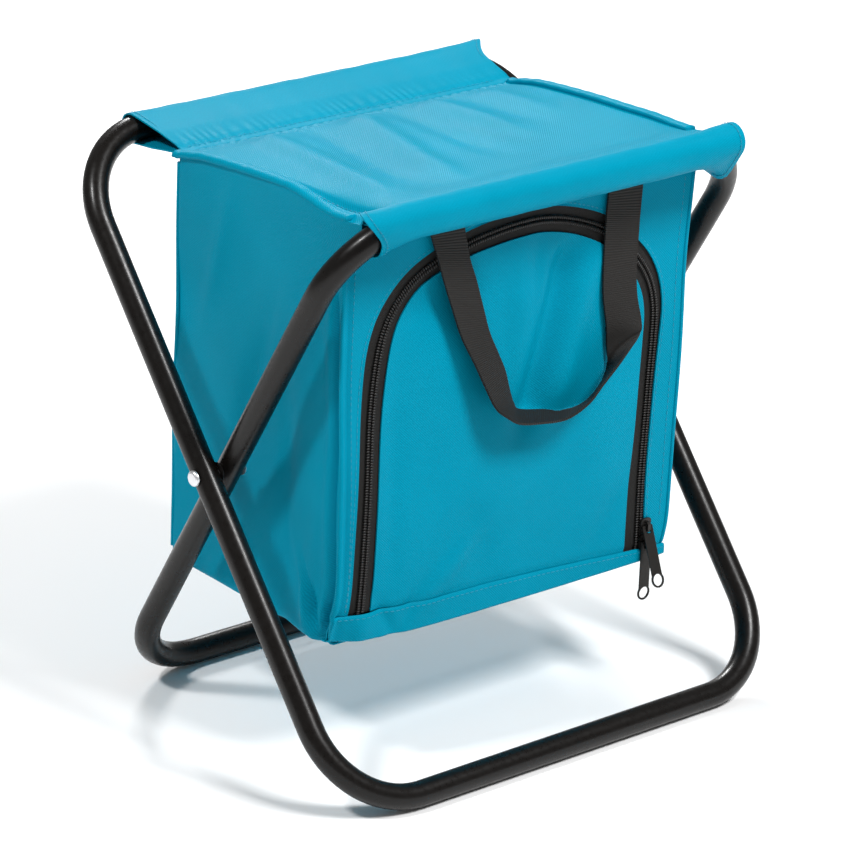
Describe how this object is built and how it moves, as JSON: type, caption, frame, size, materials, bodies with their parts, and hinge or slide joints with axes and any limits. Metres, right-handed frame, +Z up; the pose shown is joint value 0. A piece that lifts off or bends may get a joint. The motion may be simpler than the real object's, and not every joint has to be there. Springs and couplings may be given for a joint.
{
  "type": "folding cooler stool",
  "caption": "Folding camp stool: crossed bent-tube loops carry a fabric seat over an insulated cooler bag with an arched zip flap and a webbing handle.",
  "frame": {"origin": "on the floor, midway between the left and right pivots and straight below them", "axes": "+Z up, +X to the right of someone facing the zip flap, -Y toward that person"},
  "size_m": [0.4084, 0.3284, 0.4054],
  "materials": {
    "frame_steel": "gloss",
    "bright_steel": "satin",
    "black_nylon": "satin",
    "cloth": "matte",
    "foam": "matte",
    "silver_film": "satin",
    "zip_tape": "matte",
    "black_metal": "satin",
    "webbing": "matte"
  },
  "bodies": {
    "outer_frame": {"outer_frame_tube": "frame_steel", "outer_joint_spigot": "bright_steel", "pivot_rivet_left": "bright_steel", "pivot_rivet_right": "bright_steel", "spacer_washer_left": "black_nylon", "spacer_washer_right": "black_nylon", "clinch_washer_left": "bright_steel", "clinch_washer_right": "bright_steel"},
    "inner_frame": {"inner_frame_tube": "frame_steel", "inner_joint_spigot": "bright_steel"},
    "rear_sleeve_body": {"rear_sleeve": "cloth"},
    "bag_rear": {"rear_panel": "cloth", "rear_insulation": "foam", "rear_liner": "silver_film", "seat_panel": "cloth", "seat_binding_left": "cloth", "seat_binding_right": "cloth", "left_side_panel": "cloth", "left_side_insulation": "foam", "left_side_liner": "silver_film", "right_side_panel": "cloth", "right_side_insulation": "foam", "right_side_liner": "silver_film", "bottom_panel": "cloth", "bottom_insulation": "foam", "bottom_liner": "silver_film", "top_insulation": "foam", "top_liner": "silver_film"},
    "front_sleeve_body": {"front_sleeve": "cloth"},
    "bag_front": {"front_panel": "cloth", "front_band": "cloth", "zip_tape_frame": "zip_tape", "zip_chain_frame": "black_nylon", "zip_slider_lower": "black_metal"},
    "flap": {"flap_panel": "cloth", "flap_insulation": "foam", "flap_liner": "silver_film", "zip_tape_flap": "zip_tape", "zip_chain_flap": "black_nylon"},
    "upper_slider": {"zip_slider_upper": "black_metal"},
    "upper_pull": {"zip_pull_upper": "black_metal"},
    "lower_pull": {"zip_pull_lower": "black_metal"},
    "handle": {"front_handle": "webbing"}
  },
  "joints": [
    {"name": "fold", "type": "hinge", "parent": "outer_frame", "child": "inner_frame", "pos_m": [0, 0, 0.19633], "axis": [1, 0, 0], "range_deg": [-64, 0], "deforming": ["rear_sleeve", "front_sleeve", "seat_panel", "seat_binding_left", "seat_binding_right", "left_side_panel", "left_side_insulation", "left_side_liner", "right_side_panel", "right_side_insulation", "right_side_liner", "bottom_panel", "bottom_insulation", "bottom_liner", "top_insulation", "top_liner"]},
    {"name": "rear_sleeve_turn", "type": "hinge", "parent": "outer_frame", "child": "rear_sleeve_body", "pos_m": [0, 0.15457, 0.38384], "axis": [1, 0, 0], "range_deg": [0, 51.7]},
    {"name": "bag_rear_turn", "type": "hinge", "parent": "rear_sleeve_body", "child": "bag_rear", "pos_m": [0, 0.0956, 0.3818], "axis": [1, 0, 0], "range_deg": [-88.1, 0]},
    {"name": "front_sleeve_turn", "type": "hinge", "parent": "inner_frame", "child": "front_sleeve_body", "pos_m": [0, -0.11783, 0.39502], "axis": [1, 0, 0], "range_deg": [-27.2, 0]},
    {"name": "bag_front_turn", "type": "hinge", "parent": "front_sleeve_body", "child": "bag_front", "pos_m": [0, -0.086, 0.3725], "axis": [1, 0, 0], "range_deg": [0, 54.8]},
    {"name": "flap_open", "type": "hinge", "parent": "bag_front", "child": "flap", "pos_m": [0, -0.0868, 0.09715], "axis": [1, 0, 0], "range_deg": [0, 105], "deforming": ["zip_chain_flap", "zip_tape_flap", "front_handle"]},
    {"name": "slider_travel", "type": "slide", "parent": "bag_front", "child": "upper_slider", "axis": [0, 0, 1], "range_m": [0, 0.145]},
    {"name": "upper_pull_swing", "type": "hinge", "parent": "upper_slider", "child": "upper_pull", "pos_m": [0.124, -0.09005, 0.1144], "axis": [-1, 0, 0], "range_deg": [0, 140]},
    {"name": "lower_pull_swing", "type": "hinge", "parent": "bag_front", "child": "lower_pull", "pos_m": [0.124, -0.09005, 0.1028], "axis": [-1, 0, 0], "range_deg": [0, 24]},
    {"name": "handle_swing", "type": "hinge", "parent": "bag_front", "child": "handle", "pos_m": [0, -0.0876, 0.3695], "axis": [-1, 0, 0], "range_deg": [0, 100]}
  ],
  "couplings": [
    {"joint": "rear_sleeve_turn", "follows": "fold", "ratio": -0.80636},
    {"joint": "bag_rear_turn", "follows": "fold", "ratio": 1.3753},
    {"joint": "front_sleeve_turn", "follows": "fold", "ratio": 0.42407},
    {"joint": "bag_front_turn", "follows": "fold", "ratio": -0.85509}
  ]
}
